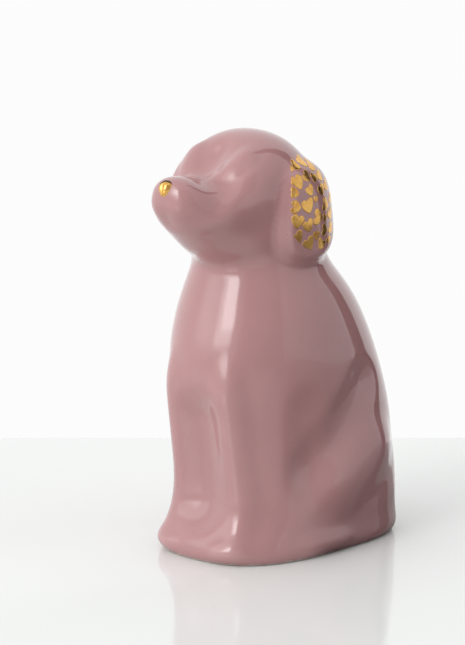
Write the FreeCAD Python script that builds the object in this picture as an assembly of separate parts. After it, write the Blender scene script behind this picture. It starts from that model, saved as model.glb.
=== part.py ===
import FreeCAD, Part
import math
import os

from FreeCAD import Vector

# A sitting-dog coin bank: one hollow slip-cast ceramic shell with gold lustre on its ears and nose,
# a coin slot across the back and a two-part stopper in its base. Millimetres, +Z up. The dog looks
# along -Y, its left side is +X, and the origin is the middle of its box, on what it stands on.

# Overall sizes of the dog, its nose button standing a little further forward
HEIGHT = 181.6
WIDTH = 84.0
DEPTH = 124.5

# Clay
WALL = 4.5
FLOOR = 5.0
FOOT_HEIGHT = 4.0
FOOT_WIDTH = 5.0

# Coin slot, cut level through the upper back
SLOT_LENGTH = 36.0
SLOT_GAP = 4.6

# Base hole and its two-part stopper
COIN_RADIUS = 14.3
COLLAR_WALL = 2.15
COLLAR_FIT = 0.05
HOLE_RADIUS = COIN_RADIUS + COLLAR_WALL + COLLAR_FIT
FLANGE = 1.2
FLANGE_LAP = 2.5
LIP = 0.8
LIP_LAP = 1.2
CAP_FIT = 0.08
CAP_WALL = 1.6
CAP_DEPTH = 7.0
CAP_FLANGE = 1.2
CAP_FLANGE_SHORT = 0.8
PULL_BAR = 3.0

# Gold: its thickness, and the nose button that carries some of it
LUSTRE = 0.2
NOSE_WIDTH = 6.4
NOSE_HEIGHT = 7.4
NOSE_PROUD = 1.4

# How finely the skin is drawn
RINGS = 96
COLUMNS = 72

# The dog as drawn. Each station is a ring through the body: the (y, z) of its front and its back on
# the midline, its half width, how square it is, and how far back its widest place lies. The rings
# rise level from the foot, fan round the throat, and run forward along the head to the nose.
STATIONS = {
    "foot":     ((-42.5, 0.0), (61.0, 0.0), 36.6, 3.0, 0.10),
    "hem":      ((-44.5, 2.5), (63.0, 2.5), 38.4, 3.0, 0.10),
    "toes":     ((-43.5, 9.0), (63.5, 9.0), 38.8, 2.8, 0.12),
    "ankle":    ((-39.0, 17.0), (63.5, 17.0), 39.0, 2.6, 0.14),
    "shin":     ((-37.2, 27.0), (64.1, 27.0), 39.0, 2.45, 0.14),
    "knee":     ((-38.3, 42.0), (63.6, 42.0), 38.8, 2.35, 0.12),
    "belly":    ((-40.3, 58.0), (62.1, 58.0), 38.6, 2.3, 0.10),
    "chest":    ((-42.0, 74.0), (58.5, 74.0), 38.2, 2.25, 0.06),
    "breast":   ((-41.3, 90.0), (52.6, 90.0), 37.0, 2.2, 0.03),
    "shoulder": ((-37.4, 105.0), (45.0, 105.0), 34.5, 2.15, 0.0),
    "collar":   ((-33.5, 116.5), (35.5, 117.5), 30.5, 2.1, 0.0),
    "throat":   ((-31.5, 123.0), (29.0, 126.0), 27.5, 2.1, 0.0),
    "jaw":      ((-33.5, 127.0), (24.0, 137.0), 26.8, 2.1, 0.1),
    "cheek":    ((-38.0, 130.0), (21.0, 150.0), 27.4, 2.1, 0.15),
    "skull":    ((-42.5, 133.0), (15.4, 167.2), 27.2, 2.1, 0.15),
    "crown":    ((-46.5, 136.5), (-1.5, 180.0), 25.9, 2.1, 0.1),
    "forehead": ((-50.5, 140.0), (-19.8, 178.8), 21.4, 2.1, 0.0),
    "brow":     ((-54.0, 143.5), (-30.0, 169.0), 16.6, 2.1, 0.0),
    "bridge":   ((-56.8, 148.0), (-38.8, 164.0), 14.1, 2.1, 0.0),
    "muzzle":   ((-59.2, 152.0), (-48.9, 165.0), 11.0, 2.1, 0.0),
    "tip":      ((-59.9, 156.3), (-56.0, 164.5), 6.2, 2.0, 0.0),
    "end":      ((-59.6, 160.2), (-59.0, 161.8), 0.8, 2.0, 0.0),
}
# How much a change of half width counts in the running distance between stations
HALF_SHARE = 0.35

# Soft moves: a bell-shaped swell or dent round the line from one point to another, the same on both
# sides. Each has the two points, its reach along x, y and z, and its height.
SWELLS = {
    "brow":      ((12, -32, 167), (14, -25, 170), (7, 8, 9), 1.7),
    "pad":       ((6, -53, 151), (10, -46, 148), (8, 10, 9), 1.2),
    "leg":       ((16, -38, 70), (20, -36, 24), (10, 12, 22), 2.8),
    "shank":     ((25, -33, 34), (25, -33, 28), (7, 8, 9), 0.9),
    "paw":       ((18, -44, 5), (20, -40, 5), (12, 11, 9), 2.4),
    "thigh":     ((38, 32, 42), (38, 12, 30), (22, 20, 18), 3.4),
    "hind_paw":  ((38, -8, 5), (38, 8, 5), (12, 12, 8), 1.4),
}
DENTS = {
    "furrow":    ((0, -36, 166), (0, -28, 173), (8, 9, 8), -1.5),
    "socket":    ((10, -44, 163), (19, -33, 159), (10, 11, 9), -0.9),
    "mouth":     ((9, -56, 143), (13, -50, 141), (5, 7, 3.5), -0.6),
    "between":   ((0, -40, 58), (0, -38, 27), (16, 15, 20), -5.2),
    "valley":    ((36, -5, 41), (36, 24, 72), (18, 15, 13), -2.7),
    "flank":     ((37, -10, 62), (37, -10, 36), (15, 12, 18), -1.8),
}
HEM_FADE = 6.0

# The hanging ear, a raised pad on the side of the head
EAR_MIDDLE = (0.3, 147.3)
EAR_HALF_HEIGHT = 24.5
EAR_HALF_WIDTH = 20.8
EAR_TAPER = 0.04
EAR_SQUARE = 2.5
EAR_EDGE = 0.30
EAR_RELIEF = (1.2, 5.3)
EAR_ROOT = (176.0, 155.0)
EAR_CLEAR = 8.0

# The gold panel on the ear: its front edge going up and its back edge coming down, as (y, z) places
PANEL_FRONT = (
    (-14.2, 139.0), (-15.7, 145.0), (-15.8, 152.0), (-14.0, 160.4), (-11.0, 165.8), (-7.8, 170.2),
)
PANEL_BACK = (
    (-2.5, 171.4), (4.5, 169.2), (10.5, 162.6), (15.0, 152.5), (14.6, 141.5), (8.0, 133.0),
    (-1.3, 131.6), (-10.0, 135.2),
)
PANEL_SIDE = 30.0

# Hearts on the panel: y, z, width of its place, and the turn in degrees of a heart that stands point
# down. Each heart fills this share of its place, so that glaze shows all round it.
HEARTS = [
    (-10.9, 161.4, 7.6, 10), (-13.6, 157.3, 5.2, 75), (-4.6, 157.4, 6.2, 25), (-13.4, 151.3, 6.6, 80),
    (-6.6, 151.2, 8.6, 15), (-1.3, 153.4, 3.8, 0), (-12.6, 145.2, 8.0, -15), (-6.4, 142.8, 7.2, 20),
    (0.0, 145.6, 8.2, 75), (5.0, 139.6, 6.3, 80), (-1.0, 138.0, 5.2, 0), (-12.2, 138.4, 7.2, 35),
    (-5.6, 135.0, 7.7, 30), (2.6, 133.9, 6.4, -30), (-10.7, 166.9, 3.9, 40), (-7.0, 167.6, 4.9, 60),
    (-1.5, 168.6, 5.7, 20), (3.0, 166.4, 5.9, 45), (5.6, 162.0, 5.7, 30), (-4.7, 163.0, 6.0, 40),
    (0.4, 162.0, 5.2, -20), (3.9, 156.6, 6.7, 15), (9.3, 157.6, 5.7, 40), (6.2, 150.2, 6.9, 70),
    (12.8, 151.8, 5.6, 60), (10.4, 145.6, 6.5, 20), (5.3, 144.7, 4.2, -15), (10.8, 139.6, 6.1, 60),
    (8.6, 134.6, 5.0, 20),
]
HEART_SHARE = 0.86

# The cavity ends in a small round, this far ahead of its last full ring
TIP_AHEAD = 1.5
CORNER_SHARE = 0.97
TIGHT = 4.0
MUZZLE_RINGS = 12
CUT_BEYOND = 10.0


def spline_slopes(xs, ys):
    """Second derivatives of the natural cubic spline through the points."""
    count = len(xs)
    low = [0.0] * count
    main = [1.0] * count
    high = [0.0] * count
    out = [0.0] * count
    for i in range(1, count - 1):
        before = xs[i] - xs[i - 1]
        after = xs[i + 1] - xs[i]
        low[i] = before / 6
        main[i] = (before + after) / 3
        high[i] = after / 6
        out[i] = (ys[i + 1] - ys[i]) / after - (ys[i] - ys[i - 1]) / before
    for i in range(1, count):
        share = low[i] / main[i - 1]
        main[i] -= share * high[i - 1]
        out[i] -= share * out[i - 1]
    for i in range(count - 2, -1, -1):
        out[i] = (out[i] - high[i] * out[i + 1]) / main[i]
    return out


def spline_at(xs, ys, slopes, x):
    """Height of that spline at x."""
    i = 0
    while i < len(xs) - 2 and x > xs[i + 1]:
        i += 1
    step = xs[i + 1] - xs[i]
    p = (xs[i + 1] - x) / step
    q = (x - xs[i]) / step
    bend = (p ** 3 - p) * slopes[i] + (q ** 3 - q) * slopes[i + 1]
    return p * ys[i] + q * ys[i + 1] + bend * step * step / 6


def station_rows():
    return [[front[0], front[1], back[0], back[1], half, square, lead]
            for front, back, half, square, lead in STATIONS.values()]


def station_places(rows):
    """Running distance of each station, from how far its front, back and side moved."""
    places = [0.0]
    for a, b in zip(rows, rows[1:]):
        front = math.hypot(b[0] - a[0], b[1] - a[1])
        back = math.hypot(b[2] - a[2], b[3] - a[3])
        run = math.sqrt((front * front + back * back) / 2)
        places.append(places[-1] + run + HALF_SHARE * abs(b[4] - a[4]))
    return places


def ring(front_y, front_z, back_y, back_z, half, square, lead):
    """Points of one ring, from the front midline round by the left side."""
    mid_y = (front_y + back_y) / 2
    mid_z = (front_z + back_z) / 2
    run_y = (back_y - front_y) / 2
    run_z = (back_z - front_z) / 2
    points = []
    for column in range(COLUMNS):
        turn = math.pi - 2 * math.pi * column / COLUMNS
        reach = (abs(math.cos(turn)) ** square + abs(math.sin(turn)) ** square) ** (-1 / square)
        along = reach * math.cos(turn) + lead * math.sin(turn) ** 2
        points.append([half * reach * math.sin(turn), mid_y + run_y * along, mid_z + run_z * along])
    return points


def drawn_rings():
    rows = station_rows()
    places = station_places(rows)
    tracks = [[row[k] for row in rows] for k in range(7)]
    slopes = [spline_slopes(places, track) for track in tracks]
    rings = []
    for i in range(RINGS):
        x = places[-1] * i / (RINGS - 1)
        rings.append(ring(*[spline_at(places, track, slope, x) for track, slope in zip(tracks, slopes)]))
    return rings


def normals(rings):
    """Outward unit normal at each point of the cage."""
    last = len(rings) - 1
    out = []
    for i in range(len(rings)):
        row = []
        for j in range(COLUMNS):
            below = rings[max(i - 1, 0)][j]
            above = rings[min(i + 1, last)][j]
            before = rings[i][j - 1]
            after = rings[i][(j + 1) % COLUMNS]
            up = Vector(*above) - Vector(*below)
            round_way = Vector(*after) - Vector(*before)
            row.append(round_way.cross(up).normalize())
        out.append(row)
    return out


def smooth_step(x):
    x = max(0.0, min(1.0, x))
    return x * x * (3 - 2 * x)


def bell(place, a, b, reach):
    """1 on the line from a to b, easing to 0 at its reach."""
    rel = [(place[k] - a[k]) / reach[k] for k in range(3)]
    line = [(b[k] - a[k]) / reach[k] for k in range(3)]
    length = sum(x * x for x in line)
    share = max(0.0, min(1.0, sum(x * y for x, y in zip(rel, line)) / length))
    apart = sum((x - share * y) ** 2 for x, y in zip(rel, line))
    return (1 - apart) ** 2 if apart < 1 else 0.0


def ear_relief(place):
    """How far the ear stands out of the head here."""
    if place[0] < EAR_CLEAR:
        return 0.0
    up = (place[2] - EAR_MIDDLE[1]) / EAR_HALF_HEIGHT
    across = (place[1] - EAR_MIDDLE[0]) / (EAR_HALF_WIDTH * (1 - EAR_TAPER * up))
    apart = (abs(across) ** EAR_SQUARE + abs(up) ** EAR_SQUARE) ** (1 / EAR_SQUARE)
    inside = smooth_step((1 - apart) / EAR_EDGE)
    hang = smooth_step((EAR_ROOT[0] - place[2]) / (EAR_ROOT[0] - EAR_ROOT[1]))
    return (EAR_RELIEF[0] + (EAR_RELIEF[1] - EAR_RELIEF[0]) * hang) * inside


def moved(rings, heights):
    """The cage with each point pushed out along its normal by heights(place)."""
    out = []
    for points, ways in zip(rings, normals(rings)):
        row = []
        for point, way in zip(points, ways):
            place = [abs(point[0]), point[1], point[2]]
            push = heights(place) * smooth_step(place[2] / HEM_FADE)
            row.append([point[k] + way[k] * push for k in range(3)])
        out.append(row)
    return out


def outer_height(place):
    moves = list(SWELLS.values()) + list(DENTS.values())
    return sum(height * bell(place, a, b, reach) for a, b, reach, height in moves) + ear_relief(place)


def inner_height(place):
    return sum(height * bell(place, a, b, reach) for a, b, reach, height in DENTS.values())


def limit_box(rings):
    """Box of the smooth skin that the cage draws, on each axis low and high."""
    lows = [1e9] * 3
    highs = [-1e9] * 3
    for i in range(1, len(rings) - 1):
        for j in range(COLUMNS):
            for k in range(3):
                total = 0.0
                for di, weight in ((-1, 1), (0, 4), (1, 1)):
                    row = rings[i + di]
                    total += weight * (row[j - 1][k] + 4 * row[j][k] + row[(j + 1) % COLUMNS][k])
                lows[k] = min(lows[k], total / 36)
                highs[k] = max(highs[k], total / 36)
    return lows, highs


def fit_scale(lows, highs):
    """Scale along x, y and z that brings the drawn box to the overall sizes."""
    return [WIDTH / (highs[0] - lows[0]), DEPTH / (highs[1] - lows[1]), HEIGHT / highs[2]]


def fitted(rings, lows, highs):
    """The drawn cage brought to the overall sizes, standing on z = 0."""
    scale = fit_scale(lows, highs)
    middle = (lows[1] + highs[1]) / 2
    return [[[p[0] * scale[0], (p[1] - middle) * scale[1], p[2] * scale[2]] for p in row] for row in rings]


def pushed(rings, distance):
    return [[list(Vector(*p) + way * distance) for p, way in zip(points, ways)]
            for points, ways in zip(rings, normals(rings))]


def skin_surface(rings):
    """Smooth surface over a cage, closed round, that ends exactly on its first and last ring."""
    def between(a, b):
        return [[(2 * p[k] + q[k]) / 3 for k in range(3)] for p, q in zip(a, b)]
    rows = [rings[0], between(rings[0], rings[1])] + rings[1:-1]
    rows += [between(rings[-1], rings[-2]), rings[-1]]
    poles = [[Vector(*p) for p in row] for row in rows]
    spans = len(rings) - 1
    up_knots = [float(i) for i in range(spans + 1)]
    round_knots = [float(j) for j in range(COLUMNS + 1)]
    up_mults = [4] + [1] * (spans - 1) + [4]
    round_mults = [1] * (COLUMNS + 1)
    surface = Part.BSplineSurface()
    surface.buildFromPolesMultsKnots(poles, up_mults, round_mults, up_knots, round_knots, False, True, 3, 3)
    return surface


def positive(solid):
    if solid.Volume < 0:
        solid.reverse()
    return solid


def skin_solid(rings):
    side = skin_surface(rings).toShape()
    ends = [edge for edge in side.Edges if edge.isClosed()]
    ends.sort(key=lambda edge: edge.Length)
    caps = [Part.Face(Part.Wire([ends[0]])), Part.Face(Part.Wire([ends[-1]]))]
    shell = Part.Shell([side] + caps)
    shell.sewShape()
    return positive(Part.Solid(shell))


def level_ring(points, z):
    return [[p[0], p[1], z] for p in points]


def cavity_rings(rings):
    """Inside of the shell: the dented form, one wall further in, from the floor to the muzzle's root."""
    floor_top = FOOT_HEIGHT + FLOOR
    inner = pushed(rings, -WALL)
    rise = WALL / 2
    inside = []
    for points in inner:
        half = max(p[0] for p in points)
        low = min(p[2] for p in points)
        if low > floor_top + rise and (half > WALL + TIGHT or low < HEIGHT / 2):
            inside.append(points)
    corner = [[p[0] * CORNER_SHARE, p[1] * CORNER_SHARE, p[2]] for p in inside[0]]
    inside.insert(0, level_ring(corner, floor_top))
    last = inside[-1]
    centre = [sum(p[k] for p in last) / COLUMNS for k in range(3)]
    plane_ring = rings[-1]
    tip = [sum(p[k] for p in plane_ring) / COLUMNS for k in range(3)]
    ahead = Vector(*[tip[k] - centre[k] for k in range(3)]).normalize()
    shift = [centre[k] + ahead[k] * TIP_AHEAD - tip[k] for k in range(3)]
    inside.append([[p[k] + shift[k] for k in range(3)] for p in plane_ring])
    return inside


def flat_outline(points, z, inset):
    """Closed curve through a level ring, moved in by inset."""
    places = []
    for j in range(COLUMNS):
        before = Vector(points[j - 1][0], points[j - 1][1], z)
        after = Vector(points[(j + 1) % COLUMNS][0], points[(j + 1) % COLUMNS][1], z)
        out = (after - before).cross(Vector(0, 0, 1)).normalize()
        places.append(Vector(points[j][0], points[j][1], z) - out * inset)
    curve = Part.BSplineCurve()
    curve.interpolate(places, True)
    return Part.Face(Part.Wire([curve.toShape()]))


def back_wall(rings, z):
    """Where the back midline of the skin crosses height z."""
    column = COLUMNS // 2
    for low, high in zip(rings, rings[1:]):
        if low[column][2] <= z <= high[column][2]:
            share = (z - low[column][2]) / (high[column][2] - low[column][2])
            return low[column][1] + share * (high[column][1] - low[column][1])
    return 0.0


def slot_height(scale_z):
    """The slot sits midway between the breast and shoulder stations."""
    low = STATIONS["breast"][1][1]
    high = STATIONS["shoulder"][1][1]
    return (low + high) / 2 * scale_z


def slot_cutter(z, start, end):
    half = SLOT_LENGTH / 2 - SLOT_GAP / 2
    rise = SLOT_GAP / 2
    low_left, low_right = Vector(-half, start, z - rise), Vector(half, start, z - rise)
    top_left, top_right = Vector(-half, start, z + rise), Vector(half, start, z + rise)
    edges = [
        Part.LineSegment(low_left, low_right).toShape(),
        Part.Arc(low_right, Vector(half + rise, start, z), top_right).toShape(),
        Part.LineSegment(top_right, top_left).toShape(),
        Part.Arc(top_left, Vector(-half - rise, start, z), low_left).toShape(),
    ]
    return Part.Face(Part.Wire(edges)).extrude(Vector(0, end - start, 0))


def nose_button(rings, grow):
    """Flattened ball on the end of the muzzle, grown all round by grow."""
    tip = Vector(*[sum(p[k] for p in rings[-1]) / COLUMNS for k in range(3)])
    back = Vector(*[sum(p[k] for p in rings[-MUZZLE_RINGS]) / COLUMNS for k in range(3)])
    ahead = (tip - back).normalize()
    deep = 2 * NOSE_PROUD
    centre = tip + ahead * (NOSE_PROUD - deep)
    ball = Part.makeSphere(1.0)
    shape = FreeCAD.Matrix()
    shape.scale(NOSE_WIDTH / 2 + grow, deep + grow, NOSE_HEIGHT / 2 + grow)
    ball = ball.transformGeometry(shape)
    ball.Placement = FreeCAD.Placement(centre, FreeCAD.Rotation(Vector(0, -1, 0), ahead))
    return ball


def revolved(profile, y):
    """Solid of revolution about the hole's axis, from (radius, z) corners."""
    corners = [Vector(r, 0, z) for r, z in profile]
    face = Part.Face(Part.makePolygon(corners + corners[:1]))
    solid = face.revolve(Vector(0, 0, 0), Vector(0, 0, 1), 360)
    solid.translate(Vector(0, y, 0))
    return solid


def stopper_collar(hole_y):
    """Soft ring that grips the floor's edge above and below."""
    under = FOOT_HEIGHT
    top = FOOT_HEIGHT + FLOOR
    outer = HOLE_RADIUS - COLLAR_FIT
    flange = HOLE_RADIUS + FLANGE_LAP
    profile = [
        (COIN_RADIUS, under - FLANGE), (flange, under - FLANGE), (flange, under), (outer, under),
        (outer, top), (HOLE_RADIUS + LIP_LAP, top), (HOLE_RADIUS, top + LIP), (COIN_RADIUS, top + LIP),
    ]
    return revolved(profile, hole_y)


def stopper_cap(hole_y):
    """Shallow cup pushed up into the collar, with a bar across its hollow to pull it by."""
    seat = FOOT_HEIGHT - FLANGE
    low = seat - CAP_FLANGE
    outer = COIN_RADIUS - CAP_FIT
    inner = outer - CAP_WALL
    top = seat + CAP_DEPTH
    flange = HOLE_RADIUS + FLANGE_LAP - CAP_FLANGE_SHORT
    ease = CAP_WALL / 2
    profile = [
        (inner, low), (flange, low), (flange, seat), (outer, seat), (outer, top - ease), (outer - ease, top),
        (0, top), (0, top - CAP_WALL), (inner, top - CAP_WALL),
    ]
    cup = revolved(profile, hole_y)
    bar_height = top - CAP_WALL - low
    bar = Part.makeBox(2 * inner, PULL_BAR, bar_height, Vector(-inner, hole_y - PULL_BAR / 2, low))
    round_bar = Part.makeCylinder(inner + CAP_WALL / 2, bar_height, Vector(0, hole_y, low))
    return cup.fuse(bar.common(round_bar)).removeSplitter()


def heart_face(y, z, width, turn):
    """Heart outline in the plane x = 0, point down before it is turned."""
    notch = Vector(0, 0, 0.20)
    point = Vector(0, 0, -0.46)
    edges = []
    for side in (-1, 1):
        lobe = Vector(0, side * 0.28, 0.40)
        flank = Vector(0, side * 0.5, 0.13)
        belly = Vector(0, side * 0.33, -0.19)
        edges.append(Part.Arc(notch, lobe, flank).toShape())
        edges.append(Part.Arc(flank, belly, point).toShape())
    wire = Part.Wire(Part.__sortEdges__(edges))
    wire.scale(width)
    wire.rotate(Vector(0, 0, 0), Vector(1, 0, 0), turn)
    wire.translate(Vector(0, y, z))
    return Part.Face(wire)


def through(places):
    """Smooth curve through (y, z) places in the plane x = 0."""
    curve = Part.BSplineCurve()
    curve.interpolate([Vector(0, y, z) for y, z in places])
    return curve.toShape()


def panel_face():
    back = PANEL_FRONT[-1:] + PANEL_BACK + PANEL_FRONT[:1]
    return Part.Face(Part.Wire([through(PANEL_FRONT), through(back)]))


def panel_middle():
    """Middle of the panel's box, as y and z."""
    ys = [y for y, z in PANEL_FRONT + PANEL_BACK]
    zs = [z for y, z in PANEL_FRONT + PANEL_BACK]
    return (min(ys) + max(ys)) / 2, (min(zs) + max(zs)) / 2


def ear_slab(rings, to_dog):
    """Skin of gold over the whole ear, its inner face on the glaze."""
    inner = skin_surface(rings)
    outer = skin_surface(pushed(rings, LUSTRE))
    corners = [to_dog(PANEL_SIDE, y, z) for y, z in PANEL_FRONT + PANEL_BACK]
    places = [inner.parameter(corner) for corner in corners]
    ups = [u for u, v in places]
    rounds = [v for u, v in places]
    span = (min(ups) - 3, max(ups) + 3, min(rounds) - 2, max(rounds) + 2)
    faces = []
    for surface in (inner, outer):
        surface.segment(*span)
        faces.append(surface.toShape())
    sides = []
    for a, b in zip(faces[0].Edges, faces[1].Edges):
        sides.append(Part.makeRuledSurface(a, b))
    shell = Part.Shell(faces + sides)
    shell.sewShape()
    return positive(Part.Solid(shell))


def ear_hearts(slab, to_dog, scale, turned_over):
    """Hearts of gold on the left ear; the other ear's sheet is turned over and mirrored later."""
    mid_y, mid_z = panel_middle()
    panel = panel_face()
    faces = []
    for y, z, width, turn in HEARTS:
        if turned_over:
            y = 2 * mid_y - y
            z = 2 * mid_z - z
            turn += 180
        faces.extend(heart_face(y, z, width * HEART_SHARE, turn).common(panel).Faces)
    stretch = FreeCAD.Matrix()
    stretch.scale(1, scale[1], scale[2])
    prisms = []
    for face in faces:
        prism = face.extrude(Vector(WIDTH, 0, 0)).transformGeometry(stretch)
        prism.translate(to_dog(0, 0, 0))
        prisms.append(prism)
    pieces = []
    for prism in prisms:
        pieces.extend(slab.common(prism).Solids)
    return Part.makeCompound([piece for piece in pieces if piece.Volume > LUSTRE])


def build():
    drawn = drawn_rings()
    detailed = moved(drawn, outer_height)
    lows, highs = limit_box(detailed)
    rings = fitted(detailed, lows, highs)
    rings[0] = level_ring(rings[0], 0.0)
    plain = fitted(moved(drawn, inner_height), lows, highs)
    scale = fit_scale(lows, highs)
    middle = (lows[1] + highs[1]) / 2

    def to_dog(x, y, z):
        return Vector(x * scale[0], (y - middle) * scale[1], z * scale[2])

    foot = rings[0]
    hole_y = (min(p[1] for p in foot) + max(p[1] for p in foot)) / 2

    form = skin_solid(rings)
    print("form", form.isValid(), round(form.Volume))
    cavity = skin_solid(cavity_rings(plain))
    print("cavity", cavity.isValid(), round(cavity.Volume))

    button = nose_button(rings, 0.0)
    shell = form.fuse(button)
    shell = shell.cut(cavity)
    shell = shell.cut(flat_outline(foot, 0.0, FOOT_WIDTH).extrude(Vector(0, 0, FOOT_HEIGHT)))
    shell = shell.cut(Part.makeCylinder(HOLE_RADIUS, 2 * FLOOR, Vector(0, hole_y, FOOT_HEIGHT - 1)))
    slot_z = slot_height(scale[2])
    back = back_wall(rings, slot_z)
    shell = shell.cut(slot_cutter(slot_z, 0.0, back + CUT_BEYOND))
    print("shell", shell.isValid(), len(shell.Solids), round(shell.Volume))

    gold_nose = nose_button(rings, LUSTRE).cut(button).cut(form)
    slab = ear_slab(rings, to_dog)
    print("slab", slab.isValid(), round(slab.Volume, 2))
    left = ear_hearts(slab, to_dog, scale, False)
    right = ear_hearts(slab, to_dog, scale, True).mirror(Vector(0, 0, 0), Vector(1, 0, 0))
    nodes = {
        "ceramic_body": shell,
        "left_ear_hearts": left,
        "right_ear_hearts": right,
        "nose_gilding": gold_nose,
        "stopper_collar": stopper_collar(hole_y),
        "stopper_cap": stopper_cap(hole_y),
    }
    print("slot at z", round(slot_z, 2), "back wall y", round(back, 2), "hole y", round(hole_y, 2))
    return nodes


def centred(nodes):
    """Brings the middle of the whole dog's box to x = y = 0, and its lowest point to z = 0."""
    whole = FreeCAD.BoundBox()
    for shape in nodes.values():
        whole.add(shape.optimalBoundingBox(False, False))
    shift = Vector(-whole.Center.x, -whole.Center.y, -whole.ZMin)
    for shape in nodes.values():
        shape.translate(shift)
    print("shift", [round(v, 3) for v in shift], "size", whole.XLength, whole.YLength, whole.ZLength)


def main():
    os.makedirs("parts", exist_ok=True)
    nodes = build()
    centred(nodes)
    for name, shape in nodes.items():
        box = shape.optimalBoundingBox(False, False)
        print(name, len(shape.Solids), "valid", shape.isValid(), "volume", round(shape.Volume, 1),
              [round(v, 2) for v in (box.XMin, box.YMin, box.ZMin, box.XMax, box.YMax, box.ZMax)])
        shape.exportStep("parts/" + name + ".step")


main()
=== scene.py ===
import math

import bmesh
import bpy
import numpy as np
from mathutils import Matrix, Vector
from mathutils.bvhtree import BVHTree


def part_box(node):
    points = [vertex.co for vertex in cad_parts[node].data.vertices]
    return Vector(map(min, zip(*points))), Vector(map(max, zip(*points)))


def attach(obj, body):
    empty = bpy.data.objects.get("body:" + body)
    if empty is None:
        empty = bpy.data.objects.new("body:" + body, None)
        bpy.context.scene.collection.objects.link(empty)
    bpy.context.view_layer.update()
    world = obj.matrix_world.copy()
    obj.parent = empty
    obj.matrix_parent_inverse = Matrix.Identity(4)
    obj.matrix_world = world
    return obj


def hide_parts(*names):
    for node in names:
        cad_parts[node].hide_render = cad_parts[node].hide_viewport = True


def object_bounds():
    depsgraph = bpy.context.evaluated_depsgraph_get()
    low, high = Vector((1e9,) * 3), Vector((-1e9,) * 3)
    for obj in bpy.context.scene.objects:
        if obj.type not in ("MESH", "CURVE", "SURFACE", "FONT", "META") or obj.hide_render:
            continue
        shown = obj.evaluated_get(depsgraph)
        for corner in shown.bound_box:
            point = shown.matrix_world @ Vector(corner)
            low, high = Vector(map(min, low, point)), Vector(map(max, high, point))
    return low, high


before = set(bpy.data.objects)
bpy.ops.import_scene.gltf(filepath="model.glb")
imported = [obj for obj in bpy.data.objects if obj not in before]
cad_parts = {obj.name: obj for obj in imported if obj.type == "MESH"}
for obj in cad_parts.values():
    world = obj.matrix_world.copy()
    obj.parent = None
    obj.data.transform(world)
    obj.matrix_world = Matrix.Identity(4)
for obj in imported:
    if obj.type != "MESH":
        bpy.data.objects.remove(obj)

# A sitting-dog coin bank in mauve-pink glaze, with gold hearts printed on its ears and a gilded nose.
# The dog is drawn in millimetres and then brought to the frame's box in metres.

mm = 0.001
cadBox = [list(corner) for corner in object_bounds()]
bodyLow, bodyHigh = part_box("ceramic_body")

cameraSetup = {
    "azimuth": 43.0,  # degrees round from the dog's face towards its left side
    "elevation": 11.0,
    "distance": 1.260,
    "lens": 163.5,  # mm, on a 36 mm long side
    "aim": (-0.0093, -0.0097, 0.0058),  # from the middle of the box
}


def directionTo(azimuth, elevation):
    turn = math.radians(azimuth)
    rise = math.radians(elevation)
    return Vector((math.sin(turn) * math.cos(rise), -math.cos(turn) * math.cos(rise), math.sin(rise)))


def makeCamera(setup):
    back = directionTo(setup["azimuth"], setup["elevation"])
    middle = (Vector(cadBox[0]) + Vector(cadBox[1])) / 2
    data = bpy.data.cameras.new("studioCamera")
    data.sensor_width = 36.0
    data.lens = setup["lens"]
    data.clip_start = 0.01
    data.clip_end = 50.0
    camera = bpy.data.objects.new("studioCamera", data)
    camera.location = middle + Vector(setup["aim"]) + back * setup["distance"]
    camera.rotation_mode = "QUATERNION"
    camera.rotation_quaternion = (-back).to_track_quat("-Z", "Y")
    bpy.context.scene.collection.objects.link(camera)
    bpy.context.scene.camera = camera


makeCamera(cameraSetup)
bpy.context.scene.view_settings.view_transform = "Standard"
print("camera set")


def newPiece(name, bm, material, body, replaced=()):
    mesh = bpy.data.meshes.new(name)
    bm.to_mesh(mesh)
    bm.free()
    mesh.polygons.foreach_set("use_smooth", [True] * len(mesh.polygons))
    mesh.materials.append(material)
    piece = bpy.data.objects.new(name, mesh)
    bpy.context.scene.collection.objects.link(piece)
    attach(piece, body)
    if replaced:
        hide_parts(*replaced)
    return piece


def addSubdivision(piece, levels):
    smooth = piece.modifiers.new("smooth", "SUBSURF")
    smooth.levels = levels
    smooth.render_levels = levels


def smoothStep(x):
    x = max(0.0, min(1.0, x))
    return x * x * (3 - 2 * x)


# Materials are small node trees, put together with the helpers below.


def newMaterial(name):
    material = bpy.data.materials.new(name)
    material.use_nodes = True
    tree = material.node_tree
    return material, tree, tree.nodes["Principled BSDF"]


def addNode(tree, kind, settings=(), **inputs):
    node = tree.nodes.new(kind)
    for key, value in dict(settings).items():
        setattr(node, key, value)
    for key, value in inputs.items():
        socket = node.inputs[int(key[1:])] if key[1:].isdigit() else node.inputs[key.replace("_", " ")]
        if isinstance(value, bpy.types.NodeSocket):
            tree.links.new(value, socket)
        else:
            socket.default_value = value
    return node


def mathOf(tree, operation, *values):
    inputs = {f"i{i}": value for i, value in enumerate(values)}
    return addNode(tree, "ShaderNodeMath", {"operation": operation}, **inputs).outputs[0]


def easeBetween(tree, value, low, high, start=0.0, end=1.0):
    settings = {"interpolation_type": "SMOOTHSTEP"}
    return addNode(
        tree, "ShaderNodeMapRange", settings, i0=value, i1=low, i2=high, i3=start, i4=end
    ).outputs[0]


def mixColours(tree, share, a, b):
    node = tree.nodes.new("ShaderNodeMix")
    node.data_type = "RGBA"
    for index, value in ((0, share), (6, a), (7, b)):
        if isinstance(value, bpy.types.NodeSocket):
            tree.links.new(value, node.inputs[index])
        else:
            node.inputs[index].default_value = value
    return node.outputs[2]


def noiseOf(tree, coordinates, scale, detail):
    return addNode(tree, "ShaderNodeTexNoise", Vector=coordinates, Scale=scale, Detail=detail).outputs["Fac"]


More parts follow.
